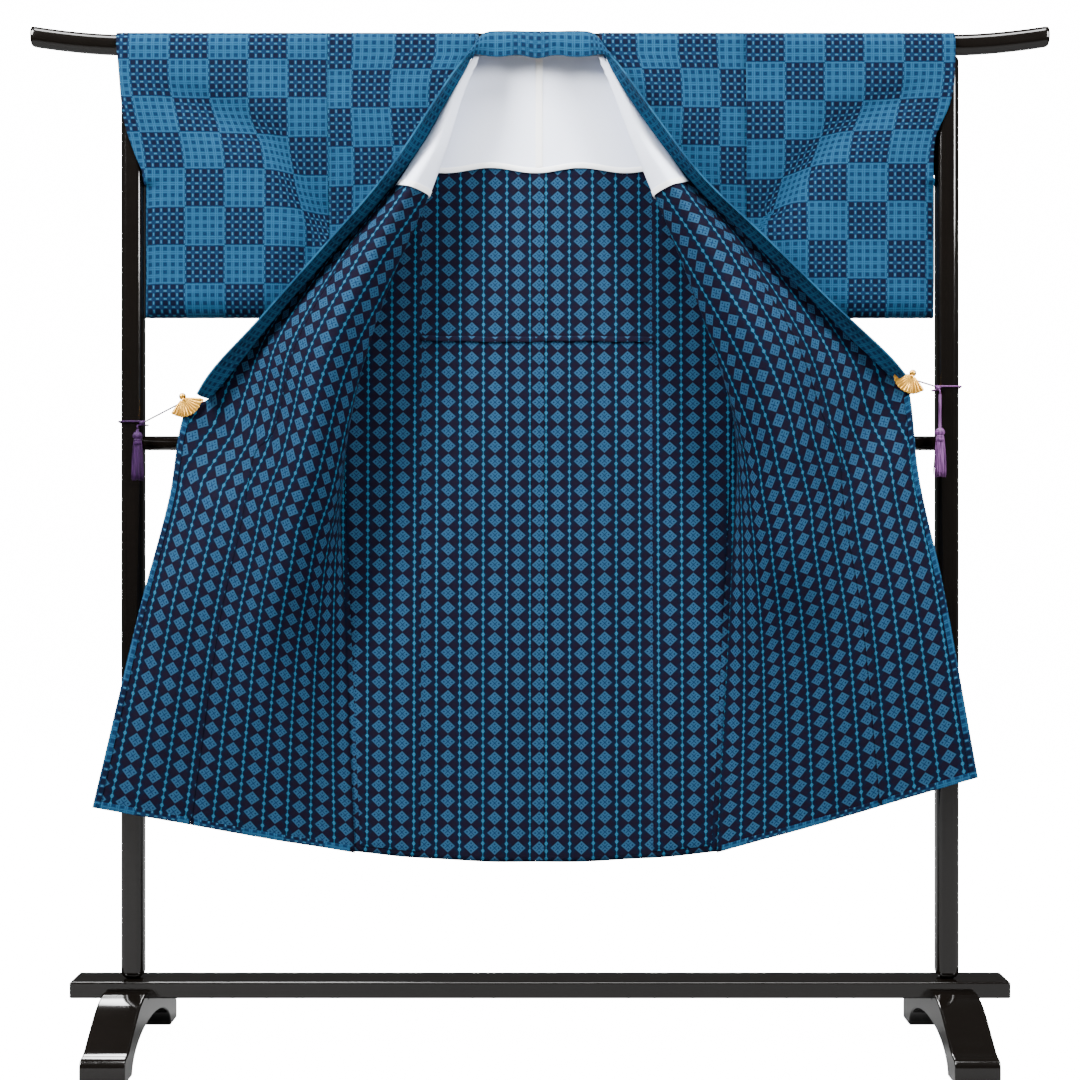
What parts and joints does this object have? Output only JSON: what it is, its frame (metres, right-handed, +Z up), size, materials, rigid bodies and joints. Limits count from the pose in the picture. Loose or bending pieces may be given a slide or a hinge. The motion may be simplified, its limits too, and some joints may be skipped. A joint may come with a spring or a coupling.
{
  "type": "men's yukata on a kimono stand",
  "caption": "Men's indigo cotton yukata with a white shoulder lining, hung with its fronts clipped open on a black lacquered kimono stand with gold clips and tassels.",
  "frame": {"origin": "on the floor under the middle of the stand, midway between its feet", "axes": "+Z up, -Y out of the garment's open front, +X towards the right as one looks at the open front"},
  "size_m": [1.69, 0.41, 1.7007],
  "materials": {
    "lacquer": "black lacquer, glossy",
    "cloth": "indigo dyed cotton, check outside and diamond columns inside, matte",
    "lining": "white cotton, matte",
    "gold": "polished gold-coloured metal",
    "tassel": "twisted and loose silk thread, soft sheen"
  },
  "bodies": {
    "root": {"top_rod": "lacquer", "foot_left": "lacquer", "foot_right": "lacquer", "post_left": "lacquer", "post_right": "lacquer", "base_beam": "lacquer", "mid_rail": "lacquer", "back_left": "cloth", "back_right": "cloth", "front_left": "cloth", "front_right": "cloth", "overlap_left": "cloth", "overlap_right": "cloth", "sleeve_left": "cloth", "sleeve_right": "cloth", "collar": "cloth", "lining_back": "lining", "lining_left": "lining", "lining_right": "lining", "clip_left": "gold", "clip_right": "gold", "clip_jaw_left": "gold", "clip_jaw_right": "gold", "clip_pin_left": "gold", "clip_pin_right": "gold", "string_left": "tassel", "string_right": "tassel", "tassel_left": "tassel", "tassel_right": "tassel"}
  },
  "joints": []
}
